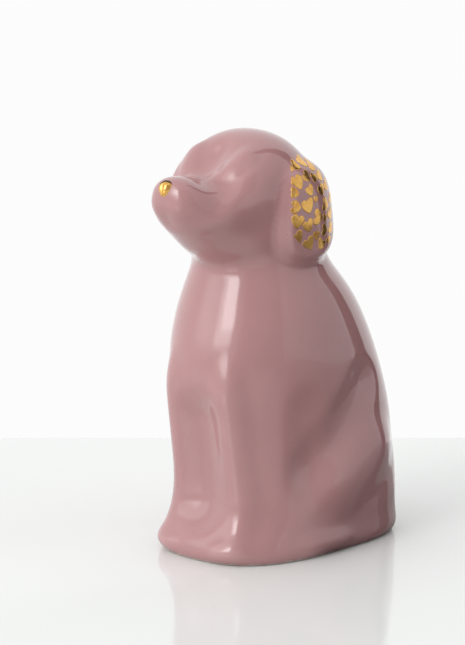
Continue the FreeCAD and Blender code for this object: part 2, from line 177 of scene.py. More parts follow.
def azimuthOf(tree, x, y):  # degrees round from -Y towards +X
    return mathOf(tree, "DEGREES", mathOf(tree, "ARCTAN2", x, mathOf(tree, "MULTIPLY", y, -1.0)))


glaze = {
    "rose": (0.44, 0.222, 0.225, 1),
    "deepRose": (0.33, 0.150, 0.155, 1),  # where it runs thick in the hollows
    "thinRose": (0.53, 0.30, 0.30, 1),  # where it breaks thin over an edge
    "speck": (0.20, 0.09, 0.085, 1),
    "roughness": (0.05, 0.12),
    "coat": 0.6,
    "bareLine": 1.9,  # mm of bare clay above the foot, less where it runs ragged
    "ragged": 1.6,
    "bare": (0.50, 0.42, 0.38, 1),
    "barePale": (0.62, 0.53, 0.48, 1),
}


def glazeMaterial():
    material, tree, shader = newMaterial("mauveGlaze")
    place = addNode(tree, "ShaderNodeTexCoord").outputs["Object"]
    hollow = addNode(tree, "ShaderNodeAttribute", {"attribute_name": "hollow"}).outputs["Fac"]
    cloud = noiseOf(tree, place, 38.0, 3.0)
    deep = easeBetween(tree, hollow, 0.52, 0.80)
    thin = easeBetween(tree, hollow, 0.46, 0.20)
    colour = mixColours(tree, deep, glaze["rose"], glaze["deepRose"])
    colour = mixColours(tree, thin, colour, glaze["thinRose"])
    mottle = easeBetween(tree, cloud, 0.35, 0.70, 0.0, 0.16)
    colour = mixColours(tree, mottle, colour, glaze["deepRose"])
    fleck = noiseOf(tree, place, 900.0, 1.0)
    colour = mixColours(tree, easeBetween(tree, fleck, 0.76, 0.80, 0.0, 0.35), colour, glaze["speck"])
    height = addNode(tree, "ShaderNodeSeparateXYZ", i0=place).outputs["Z"]
    ragged = mathOf(tree, "MULTIPLY_ADD", noiseOf(tree, place, 260.0, 3.0), glaze["ragged"] * mm, height)
    edge = glaze["bareLine"] * mm
    bare = easeBetween(tree, ragged, edge, edge - 0.5 * mm)
    colour = mixColours(tree, bare, colour, glaze["bare"])
    tree.links.new(colour, shader.inputs["Base Color"])
    smear = easeBetween(tree, noiseOf(tree, place, 120.0, 2.0), 0.3, 0.7, *glaze["roughness"])
    tree.links.new(mathOf(tree, "MULTIPLY_ADD", bare, 0.6, smear), shader.inputs["Roughness"])
    coat = mathOf(tree, "MULTIPLY_ADD", bare, -glaze["coat"], glaze["coat"])
    tree.links.new(coat, shader.inputs["Coat Weight"])
    shader.inputs["Coat Roughness"].default_value = 0.03
    ripple = noiseOf(tree, place, 75.0, 1.0)
    bump = addNode(tree, "ShaderNodeBump", Strength=0.25, Distance=0.0004, Height=ripple)
    tree.links.new(bump.outputs[0], shader.inputs["Normal"])
    return material


def bareClayMaterial():
    material, tree, shader = newMaterial("bareClay")
    place = addNode(tree, "ShaderNodeTexCoord").outputs["Object"]
    cloud = noiseOf(tree, place, 60.0, 4.0)
    colour = mixColours(tree, cloud, glaze["bare"], glaze["barePale"])
    tree.links.new(colour, shader.inputs["Base Color"])
    shader.inputs["Roughness"].default_value = 0.85
    grit = noiseOf(tree, place, 1500.0, 2.0)
    bump = addNode(tree, "ShaderNodeBump", Strength=0.5, Distance=0.0002, Height=grit)
    tree.links.new(bump.outputs[0], shader.inputs["Normal"])
    return material


gold = {
    "bright": (0.86, 0.50, 0.14, 1),
    "worn": (0.66, 0.33, 0.09, 1),
    "paintedDarkReflection": (0.05, 0.025, 0.01, 1),  # painted dark reflection, laid over the nose's far edge
    "paintedDarkReflectionFrom": (3.3, 3.9),  # mm from the nose's clear centre, where the painted dark reflection starts and where it is full
    "roughness": (0.10, 0.24),
}


def goldMaterial(name, darkFreeCentre=None):
    material, tree, shader = newMaterial(name)
    place = addNode(tree, "ShaderNodeTexCoord").outputs["Object"]
    cloud = noiseOf(tree, place, 260.0, 3.0)
    colour = mixColours(tree, easeBetween(tree, cloud, 0.4, 0.75), gold["bright"], gold["worn"])
    # painted dark reflection: away from the given centre the gold is mixed towards near black
    if darkFreeCentre:
        measure = addNode(tree, "ShaderNodeVectorMath", {"operation": "DISTANCE"}, i0=place, i1=darkFreeCentre)
        start, end = [reach * mm for reach in gold["paintedDarkReflectionFrom"]]
        paintedDarkShare = easeBetween(tree, measure.outputs["Value"], start, end)
        colour = mixColours(tree, paintedDarkShare, colour, gold["paintedDarkReflection"])
    tree.links.new(colour, shader.inputs["Base Color"])
    shader.inputs["Metallic"].default_value = 1.0
    grain = noiseOf(tree, place, 2200.0, 2.0)
    tree.links.new(easeBetween(tree, grain, 0.35, 0.70, *gold["roughness"]), shader.inputs["Roughness"])
    bump = addNode(tree, "ShaderNodeBump", Strength=0.15, Distance=0.00005, Height=grain)
    tree.links.new(bump.outputs[0], shader.inputs["Normal"])
    return material


vinyl = {
    "collar": (0.70, 0.70, 0.66, 1),
    "cap": (0.78, 0.77, 0.72, 1),
    "dusty": 0.85,  # share of its colour that dusty vinyl keeps
}


def vinylMaterial(name, colour):
    material, tree, shader = newMaterial(name)
    place = addNode(tree, "ShaderNodeTexCoord").outputs["Object"]
    dusty = tuple(vinyl["dusty"] * part for part in colour[:3]) + (1,)
    dust = easeBetween(tree, noiseOf(tree, place, 150.0, 4.0), 0.4, 0.7)
    shade = mixColours(tree, dust, colour, dusty)
    tree.links.new(shade, shader.inputs["Base Color"])
    shader.inputs["Subsurface Weight"].default_value = 0.15
    shader.inputs["Subsurface Scale"].default_value = 0.002
    fine = noiseOf(tree, place, 900.0, 2.0)
    tree.links.new(easeBetween(tree, fine, 0.3, 0.7, 0.36, 0.5), shader.inputs["Roughness"])
    bump = addNode(tree, "ShaderNodeBump", Strength=0.3, Distance=0.00008, Height=fine)
    tree.links.new(bump.outputs[0], shader.inputs["Normal"])
    return material


mauveGlaze = glazeMaterial()
bareClay = bareClayMaterial()
goldLustre = goldMaterial("goldLustre")
collarVinyl = vinylMaterial("collarVinyl", vinyl["collar"])
capVinyl = vinylMaterial("capVinyl", vinyl["cap"])
print("materials made")


# The body is a loft. Each station is a ring: front (y, z) and back (y, z) on the midline, half width,
# squareness, and how far back its widest place lies. Rings rise level from the foot, fan round the
# throat and run forward along the head to the nose.
dogForm = {
    "depth": 124.5,
    "columns": 120,
    "ringStep": 1.95,
    "hemFade": 6.0,  # soft moves die out over this height above the foot
    "hemRing": 1.3,  # running distance of one more ring, which rounds the hem
    "halfShare": 0.35,  # how much a change of half width counts in the running distance
    "muzzleRun": 30.0,  # stretch before the tip that gives the nose its direction
    "wall": 4.5,
    "floor": 5.0,
    "stations": {
        "foot": ((-42.5, 0.0), (61.0, 0.0), 36.6, 3.0, 0.10),
        "hem": ((-44.5, 2.5), (63.0, 2.5), 38.4, 3.0, 0.10),
        "toes": ((-43.5, 9.0), (63.5, 9.0), 38.8, 2.8, 0.12),
        "ankle": ((-39.0, 17.0), (63.5, 17.0), 39.0, 2.6, 0.14),
        "shin": ((-37.2, 27.0), (64.1, 27.0), 39.0, 2.45, 0.14),
        "knee": ((-38.3, 42.0), (63.6, 42.0), 38.8, 2.35, 0.12),
        "belly": ((-40.3, 58.0), (62.1, 58.0), 38.6, 2.3, 0.10),
        "chest": ((-42.0, 74.0), (58.5, 74.0), 38.2, 2.25, 0.06),
        "breast": ((-41.3, 90.0), (52.6, 90.0), 37.0, 2.2, 0.03),
        "shoulder": ((-37.4, 105.0), (45.0, 105.0), 34.5, 2.15, 0.0),
        "collar": ((-33.5, 116.5), (35.5, 117.5), 30.5, 2.1, 0.0),
        "throat": ((-31.5, 123.0), (29.0, 126.0), 27.5, 2.1, 0.0),
        "jaw": ((-33.5, 127.0), (24.0, 137.0), 26.8, 2.1, 0.1),
        "cheek": ((-38.0, 130.0), (21.0, 150.0), 27.4, 2.1, 0.15),
        "skull": ((-42.5, 133.0), (15.4, 167.2), 27.2, 2.1, 0.15),
        "crown": ((-46.5, 136.5), (-1.5, 180.0), 25.9, 2.1, 0.1),
        "forehead": ((-50.5, 140.0), (-19.8, 178.8), 21.4, 2.1, 0.0),
        "brow": ((-54.0, 143.5), (-30.0, 169.0), 16.6, 2.1, 0.0),
        "bridge": ((-56.8, 148.0), (-38.8, 164.0), 14.1, 2.1, 0.0),
        "muzzle": ((-59.2, 152.0), (-48.9, 165.0), 11.0, 2.1, 0.0),
        "tip": ((-59.9, 156.3), (-56.0, 164.5), 6.2, 2.0, 0.0),
        "end": ((-59.6, 160.2), (-59.0, 161.8), 0.8, 2.0, 0.0),
    },
}

# Soft moves, the same on both sides: two ends of a line, the reach along x, y and z, and the height.
softMoves = {
    "brow": ((12, -32, 167), (14, -25, 170), (7, 8, 9), 1.7),
    "furrow": ((0, -36, 166), (0, -28, 173), (8, 9, 8), -1.5),
    "pad": ((6, -53, 151), (10, -46, 148), (8, 10, 9), 1.2),
    "leg": ((16, -38, 70), (20, -36, 24), (10, 12, 22), 2.8),
    "shank": ((25, -33, 34), (25, -33, 28), (7, 8, 9), 0.9),
    "paw": ((18, -44, 5), (20, -40, 5), (12, 11, 9), 2.4),
    "thigh": ((38, 32, 42), (38, 12, 30), (22, 20, 18), 3.4),
    "hindPaw": ((38, -8, 5), (38, 8, 5), (12, 12, 8), 1.4),
    "socket": ((10, -44, 163), (19, -33, 159), (10, 11, 9), -0.9),
    "mouth": ((9, -56, 143), (13, -50, 141), (5, 7, 3.5), -0.6),
    "between": ((0, -40, 58), (0, -38, 27), (16, 15, 20), -5.2),
    "valley": ((36, -5, 41), (36, 24, 72), (18, 15, 13), -2.7),
    "flank": ((37, -10, 62), (37, -10, 36), (15, 12, 18), -1.8),
}

# The hanging ear is a raised pad on the side of the head.
ear = {
    "middle": (0.3, 147.3),
    "halfHeight": 24.5,
    "halfWidth": 20.8,
    "taper": 0.04,
    "squareness": 2.5,
    "edge": 0.30,  # share of the half width that its rim takes
    "relief": (1.2, 5.3),  # at its root and where it hangs
    "root": (176.0, 155.0),
    "skinShare": 1.35,  # reach of the skin that the gold is laid on, in half heights
    "skinClear": 6.0,  # that skin's own distance from the middle
    "clear": 8.0,  # distance from the middle where it starts, and over which it fades in
}


def smoothTrack(places, values):  # natural cubic spline through the values
    count = len(places)
    steps = np.diff(places)
    system = np.eye(count)
    right = np.zeros(count)
    for i in range(1, count - 1):
        system[i, i - 1 : i + 2] = steps[i - 1] / 6, (steps[i - 1] + steps[i]) / 3, steps[i] / 6
        right[i] = (values[i + 1] - values[i]) / steps[i] - (values[i] - values[i - 1]) / steps[i - 1]
    bends = np.linalg.solve(system, right)

    def track(x):
        i = int(np.clip(np.searchsorted(places, x) - 1, 0, count - 2))
        p = (places[i + 1] - x) / steps[i]
        q = (x - places[i]) / steps[i]
        bend = (p**3 - p) * bends[i] + (q**3 - q) * bends[i + 1]
        return p * values[i] + q * values[i + 1] + bend * steps[i] ** 2 / 6

    return track


def formTracks():
    rows = [[*front, *back, *rest] for front, back, *rest in dogForm["stations"].values()]
    places = [0.0]
    for a, b in zip(rows, rows[1:]):
        front = math.hypot(b[0] - a[0], b[1] - a[1])
        back = math.hypot(b[2] - a[2], b[3] - a[3])
        run = math.sqrt((front**2 + back**2) / 2)
        places.append(places[-1] + run + dogForm["halfShare"] * abs(b[4] - a[4]))
    return places, [smoothTrack(places, [row[k] for row in rows]) for k in range(7)]


stationPlaces, tracks = formTracks()
loftLength = stationPlaces[-1]
turns = [math.pi - 2 * math.pi * column / dogForm["columns"] for column in range(dogForm["columns"])]


def ringAt(x):  # ring at running distance x, from the front midline round by the dog's left side
    frontY, frontZ, backY, backZ, half, square, lead = [track(x) for track in tracks]
    points = []
    for turn in turns:
        reach = (abs(math.cos(turn)) ** square + abs(math.sin(turn)) ** square) ** (-1 / square)
        along = reach * math.cos(turn) + lead * math.sin(turn) ** 2
        y = (frontY + backY) / 2 + (backY - frontY) / 2 * along
        z = (frontZ + backZ) / 2 + (backZ - frontZ) / 2 * along
        points.append(Vector((half * reach * math.sin(turn), y, z)))
    return points


def movedRing(x, lift, wall=0.0):  # that ring with its soft moves, and one wall further in if asked
    points = ringAt(x)
    below = ringAt(max(x - 1, 0.0))
    above = ringAt(min(x + 1, loftLength))
    moved = []
    for i, point in enumerate(points):
        across = points[(i + 1) % len(points)] - points[i - 1]
        outward = across.cross(above[i] - below[i]).normalized()
        place = (abs(point.x), point.y, point.z)
        push = lift(place) * smoothStep(point.z / dogForm["hemFade"]) - wall
        moved.append(point + outward * push)
    return moved


def bell(place, a, b, reach):  # 1 on the line from a to b, easing to 0 at its reach
    rel = [(place[k] - a[k]) / reach[k] for k in range(3)]
    line = [(b[k] - a[k]) / reach[k] for k in range(3)]
    length = sum(x * x for x in line)
    share = max(0.0, min(1.0, sum(x * y for x, y in zip(rel, line)) / length))
    apart = sum((x - share * y) ** 2 for x, y in zip(rel, line))
    return (1 - apart) ** 2 if apart < 1 else 0.0


def earRelief(place):
    up = (place[2] - ear["middle"][1]) / ear["halfHeight"]
    across = (place[1] - ear["middle"][0]) / (ear["halfWidth"] * (1 - ear["taper"] * up))
    power = ear["squareness"]
    apart = (abs(across) ** power + abs(up) ** power) ** (1 / power)
    inside = smoothStep((1 - apart) / ear["edge"])
    hang = smoothStep((ear["root"][0] - place[2]) / (ear["root"][0] - ear["root"][1]))
    side = smoothStep((place[0] - ear["clear"]) / ear["clear"])
    root, full = ear["relief"]
    return (root + (full - root) * hang) * inside * side


def outerLift(place):
    soft = sum(height * bell(place, a, b, reach) for a, b, reach, height in softMoves.values())
    return soft + earRelief(place)


def innerLift(place):
    return sum(height * bell(place, a, b, reach) for a, b, reach, height in softMoves.values() if height < 0)


# The clay is cut by a coin slot and a base hole. The slot is one row of faces, so its lips round off.
cuts = {
    "slotHeight": 97.5,
    "slotGap": 4.6,
    "slotColumns": 10,  # each side of the back midline
    "lip": 1.3,
    "footWidth": 5.0,
    "footHeight": 4.0,
    "holeRadius": 16.5,
    "edge": 0.6,
    "innerStep": 9.0,
    "innerLow": 15.0,  # height of the hollow's first ring above its floor's corner
    "innerCorner": 0.92,  # size of that corner, as a share of the first ring
    "innerEnd": 9.0,  # half width at which the hollow stops, in the muzzle
}


def placeAtHeight(z):  # running distance of the level ring at height z, below the shoulder
    low, high = 0.0, stationPlaces[list(dogForm["stations"]).index("shoulder")]
    for _ in range(40):
        middle = (low + high) / 2
        low, high = (middle, high) if tracks[1](middle) < z else (low, middle)
    return low


def evenPlaces(start, end, step):
    return list(np.linspace(start, end, max(2, round((end - start) / step)) + 1))


def ringPlaces(start, end, step, lips):  # running distances of rings, two of them the slot's edges
    rise = cuts["slotGap"] / 2
    heights = [cuts["slotHeight"] - rise, cuts["slotHeight"] + rise]
    if lips:
        heights = [heights[0] - cuts["lip"], *heights, heights[1] + cuts["lip"]]
    slot = [placeAtHeight(z) for z in heights]
    below = evenPlaces(start, slot[0], step)
    above = evenPlaces(slot[-1], end, step)
    return below + slot[1:-1] + above, len(below) + (0 if lips else -1)


def limitBox(cage):  # box of the smooth skin that the cage draws
    round3 = (np.roll(cage, 1, 1) + 4 * cage + np.roll(cage, -1, 1)) / 6
    smooth = ((round3[:-2] + 4 * round3[1:-1] + round3[2:]) / 6).reshape(-1, 3)
    return smooth.min(0), smooth.max(0)


def startLoop(bm, points):
    bmesh.ops.create_circle(bm, segments=len(points), radius=1)
    column = bm.verts.layers.int.new("column")
    ring = bm.verts.layers.int.new("ring")
    bm.verts.index_update()
    for vert in bm.verts:
        vert[column] = vert.index
        vert[ring] = 0
        vert.co = points[vert.index]
    return list(bm.edges)


def addLoop(bm, edges, points, ring):  # extrudes a loop of edges and moves it to the points
    column = bm.verts.layers.int["column"]
    ringLayer = bm.verts.layers.int["ring"]
    made = bmesh.ops.extrude_edge_only(bm, edges=edges)["geom"]
    verts = {item for item in made if isinstance(item, bmesh.types.BMVert)}
    for vert in verts:
        vert.co = points[vert[column]]
        vert[ringLayer] = ring
    return [item for item in made if isinstance(item, bmesh.types.BMEdge) and set(item.verts) <= verts]


def insetLevel(points, distance, z):
    moved = []
    for i, point in enumerate(points):
        ahead = points[(i + 1) % len(points)] - points[i - 1]
        ahead = Vector((ahead.x, ahead.y, 0)).normalized()
        moved.append(Vector((point.x - ahead.y * distance, point.y + ahead.x * distance, z)))
    return moved


def holeLoop(radius, middleY, z):
    return [Vector((radius * math.sin(turn), middleY + radius * math.cos(turn), z)) for turn in turns]


def openSlot(bm, firstRing):  # takes out the slot's faces and returns the border that they leave
    column = bm.verts.layers.int["column"]
    ring = bm.verts.layers.int["ring"]
    back = dogForm["columns"] // 2
    near = range(back - cuts["slotColumns"], back + cuts["slotColumns"] + 1)
    rows = (firstRing, firstRing + 1)
    faces = [face for face in bm.faces if all(v[ring] in rows and v[column] in near for v in face.verts)]
    bmesh.ops.delete(bm, geom=faces, context="FACES")
    return [edge for edge in bm.edges if edge.is_boundary and all(v[ring] in rows for v in edge.verts)]


def deepen(bm, border, distance):  # runs a border along y
    made = bmesh.ops.extrude_edge_only(bm, edges=border)["geom"]
    verts = {item for item in made if isinstance(item, bmesh.types.BMVert)}
    bmesh.ops.translate(bm, verts=list(verts), vec=(0, distance, 0))
    return [item for item in made if isinstance(item, bmesh.types.BMEdge) and set(item.verts) <= verts]


def middleOf(points):
    return sum(points, Vector()) / len(points)


def markHollows(bm, outerRings):  # 0.5 where the skin is flat, more in a hollow, less on an edge
    ring = bm.verts.layers.int["ring"]
    hollow = bm.verts.layers.float.new("hollow")
    bm.normal_update()
    for vert in bm.verts:
        vert[hollow] = 0.5
        if vert[ring] < outerRings:
            others = [edge.other_vert(vert) for edge in vert.link_edges]
            middle = sum((other.co for other in others), Vector()) / len(others)
            span = sum((other.co - vert.co).length for other in others) / len(others)
            vert[hollow] = 0.5 + (middle - vert.co).dot(vert.normal) / span


insideStart = 500  # the hollow's rings are numbered from here


def dogBody():
    places, slotRing = ringPlaces(0.0, loftLength, dogForm["ringStep"], True)
    places.insert(1, dogForm["hemRing"])
    slotRing += 1
    cage = np.array([[tuple(point) for point in movedRing(x, outerLift)] for x in places])
    low, high = limitBox(cage)
    size = bodyHigh - bodyLow
    deep = dogForm["depth"] * mm
    scale = Vector((size.x / (high[0] - low[0]), deep / (high[1] - low[1]), size.z / high[2]))
    shift = Vector((0, bodyHigh.y - high[1] * scale.y, 0))

    def toFrame(points):
        return [Vector(point) * scale + shift for point in points]

    bm = bmesh.new()
    foot = toFrame(cage[0])
    first = startLoop(bm, foot)
    edges = first
    for i, points in enumerate(cage[1:], 1):
        edges = addLoop(bm, edges, toFrame(points), i)
    bmesh.ops.edgeloop_fill(bm, edges=edges)

    footHeight = cuts["footHeight"] * mm
    floorTop = footHeight + dogForm["floor"] * mm
    holeY = (min(p.y for p in foot) + max(p.y for p in foot)) / 2
    edge = cuts["edge"] * mm
    width = cuts["footWidth"] * mm
    hole = cuts["holeRadius"] * mm
    innerFirst = placeAtHeight(cuts["innerLow"])
    innerPlaces, innerSlot = ringPlaces(innerFirst, hollowEnd(), cuts["innerStep"], False)
    inner = [toFrame(movedRing(x, innerLift, dogForm["wall"])) for x in innerPlaces]
    holeTop = holeLoop(hole, holeY, floorTop - edge / 2)
    under = [
        insetLevel(foot, edge, 0),
        insetLevel(foot, width - edge, 0),
        insetLevel(foot, width, edge),
        insetLevel(foot, width + edge / 2, footHeight - edge),
        insetLevel(foot, width + 2 * edge, footHeight),
        holeLoop(hole + edge, holeY, footHeight),
        holeLoop(hole, holeY, footHeight + edge / 2),
        holeTop,
        holeLoop(hole + edge, holeY, floorTop),
        [Vector((p.x * cuts["innerCorner"], p.y * cuts["innerCorner"], floorTop)) for p in inner[0]],
    ]
    edges = first
    for i, points in enumerate(under):
        edges = addLoop(bm, edges, points, len(cage) + i)
    for i, points in enumerate(inner):
        edges = addLoop(bm, edges, points, insideStart + i)
    bmesh.ops.edgeloop_fill(bm, edges=edges)

    outside = deepen(bm, openSlot(bm, slotRing), -cuts["lip"] * mm)
    inside = deepen(bm, openSlot(bm, insideStart + innerSlot), cuts["edge"] * mm)
    bmesh.ops.bridge_loops(bm, edges=outside + inside)
    bmesh.ops.recalc_face_normals(bm, faces=bm.faces)
    markHollows(bm, len(cage))
    ring = bm.verts.layers.int["ring"]
    floorEdge = len(cage) + under.index(holeTop)
    for face in bm.faces:
        face.material_index = int(min(v[ring] for v in face.verts) >= floorEdge)
    loose = [edge for edge in bm.edges if not edge.is_manifold]
    print("body cage", len(bm.faces), "faces, open edges", len(loose))
    tip = middleOf(toFrame(cage[-1]))
    muzzle = middleOf(toFrame(movedRing(loftLength - dogForm["muzzleRun"], outerLift)))
    return bm, toFrame, tip, (tip - muzzle).normalized(), holeY


def hollowEnd():  # running distance at which the head is too narrow to hollow further
    x = loftLength
    while tracks[4](x) < cuts["innerEnd"] + dogForm["wall"]:
        x -= 1.0
    return x


bodyMesh, toFrame, noseTip, noseAhead, holeY = dogBody()
dogShell = newPiece("dog_shell", bodyMesh, mauveGlaze, "shell", ["ceramic_body"])
dogShell.data.materials.append(bareClay)
addSubdivision(dogShell, 1)
print("body made")


# Hearts in gold: their places on the ear are drawn flat, then laid on the glaze along x.
heartPrint = {
    "front": ((-14.2, 139.0), (-15.7, 145.0), (-15.8, 152.0), (-14.0, 160.4), (-11.0, 165.8), (-7.8, 170.2)),
    "back": (
        (-2.5, 171.4), (4.5, 169.2), (10.5, 162.6), (15.0, 152.5), (14.6, 141.5), (8.0, 133.0),
        (-1.3, 131.6), (-10.0, 135.2),
    ),
    "section": (  # share of the outline and height over the glaze, from the buried back to the middle
        (0.97, -0.25), (1.0, -0.03), (0.994, 0.07), (0.975, 0.11), (0.94, 0.13), (0.86, 0.13),
        (0.74, 0.13), (0.58, 0.13), (0.40, 0.13), (0.20, 0.13),
    ),
    "arcPoints": 12,
    "edgePoints": 60,  # along each edge of the sheet
    "leastPoints": 6,  # a heart with fewer of its points on the sheet is left out
    "farOut": 60,  # beside the dog, where the hearts start their way to the glaze
    "skinLevels": 3,
    "share": 0.88,  # of its place that each heart fills
    "places": (  # y, z, width of its place, and the turn in degrees of a heart that stands point down
        (-10.9, 161.4, 7.6, 10), (-13.6, 157.3, 5.2, 75), (-4.6, 157.4, 6.2, 25), (-13.4, 151.3, 6.6, 80),
        (-6.6, 151.2, 8.6, 15), (-1.3, 153.4, 3.8, 0), (-12.6, 145.2, 8.0, -15), (-6.4, 142.8, 7.2, 20),
        (0.0, 145.6, 8.2, 75), (5.0, 139.6, 6.3, 80), (-1.0, 138.0, 5.2, 0), (-12.2, 138.4, 7.2, 35),
        (-5.6, 135.0, 7.7, 30), (2.6, 133.9, 6.4, -30), (-10.7, 166.9, 3.9, 40), (-7.0, 167.6, 4.9, 60),
        (-1.5, 168.6, 5.7, 20), (3.0, 166.4, 5.9, 45), (5.6, 162.0, 5.7, 30), (-4.7, 163.0, 6.0, 40),
        (0.4, 162.0, 5.2, -20), (3.9, 156.6, 6.7, 15), (9.3, 157.6, 5.7, 40), (6.2, 150.2, 6.9, 70),
        (12.8, 151.8, 5.6, 60), (10.4, 145.6, 6.5, 20), (5.3, 144.7, 4.2, -15), (10.8, 139.6, 6.1, 60),
        (8.6, 134.6, 5.0, 20),
    ),
}


def arcThrough(a, b, c, count):  # points on the circle through a, b and c, without the last
    ax, ay, bx, by, cx, cy = *a, *b, *c
    d = 2 * (ax * (by - cy) + bx * (cy - ay) + cx * (ay - by))
    ux = ((ax**2 + ay**2) * (by - cy) + (bx**2 + by**2) * (cy - ay) + (cx**2 + cy**2) * (ay - by)) / d
    uy = ((ax**2 + ay**2) * (cx - bx) + (bx**2 + by**2) * (ax - cx) + (cx**2 + cy**2) * (bx - ax)) / d
    start, past, end = [math.atan2(y - uy, x - ux) for x, y in (a, b, c)]
    way = 1 if (past - start) % math.tau < (end - start) % math.tau else -1
    sweep = way * ((way * (end - start)) % math.tau)
    radius = math.hypot(ax - ux, ay - uy)
    angles = [start + sweep * i / count for i in range(count)]
    return [(ux + radius * math.cos(angle), uy + radius * math.sin(angle)) for angle in angles]


def heartOutline(y, z, width, turn):
    notch, lobe, flank, belly, point = (0, 0.20), (0.28, 0.40), (0.5, 0.13), (0.33, -0.19), (0, -0.46)
    count = heartPrint["arcPoints"]
    right = arcThrough(notch, lobe, flank, count) + arcThrough(flank, belly, point, count)
    left = [(-a, b) for a, b in reversed(right[1:])]
    c, s = math.cos(math.radians(turn)), math.sin(math.radians(turn))
    return [(y + width * (a * c - b * s), z + width * (a * s + b * c)) for a, b in right + [point] + left]


def panelOutline():  # the printed sheet: its front edge going up, then its back edge coming down
    front, back = heartPrint["front"], heartPrint["back"]
    outline = []
    for through in (front, (front[-1], *back, front[0])):
        places = [0.0]
        for a, b in zip(through, through[1:]):
            places.append(places[-1] + math.dist(a, b))
        alongY, alongZ = [smoothTrack(places, [point[k] for point in through]) for k in (0, 1)]
        steps = np.linspace(0, places[-1], heartPrint["edgePoints"])[:-1]
        outline += [(alongY(x), alongZ(x)) for x in steps]
    return outline


def insidePanel(point, outline):
    inside = False
    for (ay, az), (by, bz) in zip(outline, outline[1:] + outline[:1]):
        if (az > point[1]) != (bz > point[1]) and point[0] < (by - ay) * (point[1] - az) / (bz - az) + ay:
            inside = not inside
    return inside


def clipTo(point, pole, outline):  # point, or where the way to it from the pole leaves the panel
    if insidePanel(point, outline):
        return point
    near, far = 0.0, 1.0
    for _ in range(24):
        middle = (near + far) / 2
        place = [p + middle * (q - p) for p, q in zip(pole, point)]
        near, far = (middle, far) if insidePanel(place, outline) else (near, middle)
    return tuple(p + near * (q - p) for p, q in zip(pole, point))


def earSurface():  # fine copy of the left ear's skin, to lay the hearts on
    bm = bmesh.new()
    bm.from_mesh(dogShell.data)
    middle = toFrame([(20, ear["middle"][0], ear["middle"][1])])[0]
    reach = ear["skinShare"] * ear["halfHeight"] * mm
    ring = bm.verts.layers.int["ring"]
    away = [
        face
        for face in bm.faces
        if face.calc_center_median().x < ear["skinClear"] * mm
        or (face.calc_center_median() - middle).length > reach
        or face.verts[0][ring] >= insideStart
    ]
    bmesh.ops.delete(bm, geom=away, context="FACES")
    mesh = bpy.data.meshes.new("earSkin")
    bm.to_mesh(mesh)
    bm.free()
    skin = bpy.data.objects.new("earSkin", mesh)
    bpy.context.scene.collection.objects.link(skin)
    addSubdivision(skin, heartPrint["skinLevels"])
    graph = bpy.context.evaluated_depsgraph_get()
    tree = BVHTree.FromObject(skin, graph)
    bpy.data.objects.remove(skin)
    bpy.data.meshes.remove(mesh)
    return tree


def earGold(skin, turnedOver):
    panel = panelOutline()
    bm = bmesh.new()
    lift = bm.verts.layers.float.new("lift")
    bm.verts.layers.int.new("outline")
    corners = heartPrint["front"] + heartPrint["back"]
    midY, midZ = [(min(p[k] for p in corners) + max(p[k] for p in corners)) / 2 for k in (0, 1)]
    for y, z, width, turn in heartPrint["places"]:
        if turnedOver:
            y, z, turn = 2 * midY - y, 2 * midZ - z, turn + 180
        outline = heartOutline(y, z, width * heartPrint["share"], turn)
        kept = [point for point in outline if insidePanel(point, panel)]
        if len(kept) < heartPrint["leastPoints"]:
            continue
        pole = (y, z)
        if not insidePanel(pole, panel):
            pole = tuple(sum(p[k] for p in kept) / len(kept) for k in (0, 1))
        outline = [clipTo(point, pole, panel) for point in outline]
        addHeart(bm, outline, pole)
    for vert in bm.verts:
        start = toFrame([(heartPrint["farOut"], vert.co.y, vert.co.z)])[0]
        hit, normal, _, _ = skin.ray_cast(start, Vector((-1, 0, 0)))
        vert.co = hit + normal * vert[lift] * mm
    if turnedOver:
        bmesh.ops.scale(bm, vec=(-1, 1, 1), verts=bm.verts)
    bmesh.ops.recalc_face_normals(bm, faces=bm.faces)
    return bm


def addHeart(bm, outline, pole):  # a closed flat heart with a rounded rim, drawn in the plane x = 0
    lift = bm.verts.layers.float["lift"]
    index = bm.verts.layers.int["outline"]
    verts = bmesh.ops.create_circle(bm, segments=len(outline), radius=1)["verts"]
    for i, vert in enumerate(verts):
        vert[index] = i
    edges = list({edge for vert in verts for edge in vert.link_edges})
    for i, (share, height) in enumerate(heartPrint["section"]):
        if i > 0:
            made = bmesh.ops.extrude_edge_only(bm, edges=edges)["geom"]
            verts = {item for item in made if isinstance(item, bmesh.types.BMVert)}
            links = [item for item in made if isinstance(item, bmesh.types.BMEdge)]
            edges = [link for link in links if set(link.verts) <= verts]
        for vert in verts:
            y, z = [p + share * (q - p) for p, q in zip(pole, outline[vert[index]])]
            vert.co = (0, y, z)
            vert[lift] = height
        if i == 0:
            bmesh.ops.edgeloop_fill(bm, edges=edges)
    bmesh.ops.edgeloop_fill(bm, edges=edges)


earSkin = earSurface()
newPiece("left_ear_gold", earGold(earSkin, False), goldLustre, "shell", ["left_ear_hearts"])
newPiece("right_ear_gold", earGold(earSkin, True), goldLustre, "shell", ["right_ear_hearts"])
print("hearts laid on")


# The nose is a small gilded button, wider at its top, with a crease down its middle.
nose = {
    "halfWidth": 3.3,
    "halfHeight": 3.7,
    "depth": 2.9,
    "proud": 1.5,
    "taper": 0.22,
    "crease": (0.30, 0.16),  # its depth and half width, as shares of the nose
    "creaseDown": 0.15,  # how far below the nose's middle it is deepest
    "darkFreeCentre": (1.1, 0, -0.9),  # from the tip, the middle of the part left clear of the painted dark reflection
}


